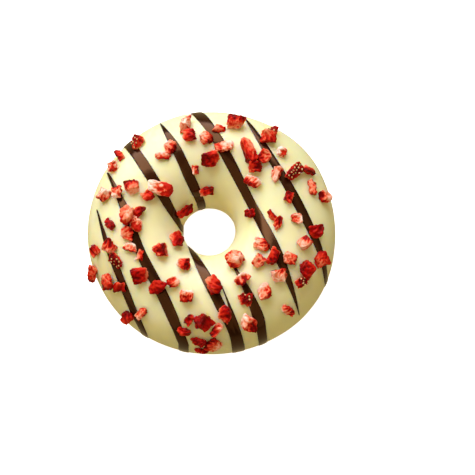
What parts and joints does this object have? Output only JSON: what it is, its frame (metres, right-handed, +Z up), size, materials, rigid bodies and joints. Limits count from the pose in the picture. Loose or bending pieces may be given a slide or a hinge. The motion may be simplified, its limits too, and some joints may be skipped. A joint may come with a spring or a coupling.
{
  "type": "ring doughnut",
  "caption": "Ring doughnut coated in white chocolate, with dark chocolate lines and dried strawberry crumbs strewn on top.",
  "frame": {"origin": "on the table, under the middle of the doughnut with its crumbs", "axes": "+Z up through the hole, +X to the picture's right, +Y away from the camera"},
  "size_m": [0.0916, 0.0932, 0.0372],
  "materials": {
    "dough": "fried golden brown, dry and soft",
    "icing": "smooth glossy white chocolate, with dark chocolate lines and red strawberry crumbs"
  },
  "bodies": {
    "root": {"dough_ring": "dough", "icing": "icing"}
  },
  "joints": []
}
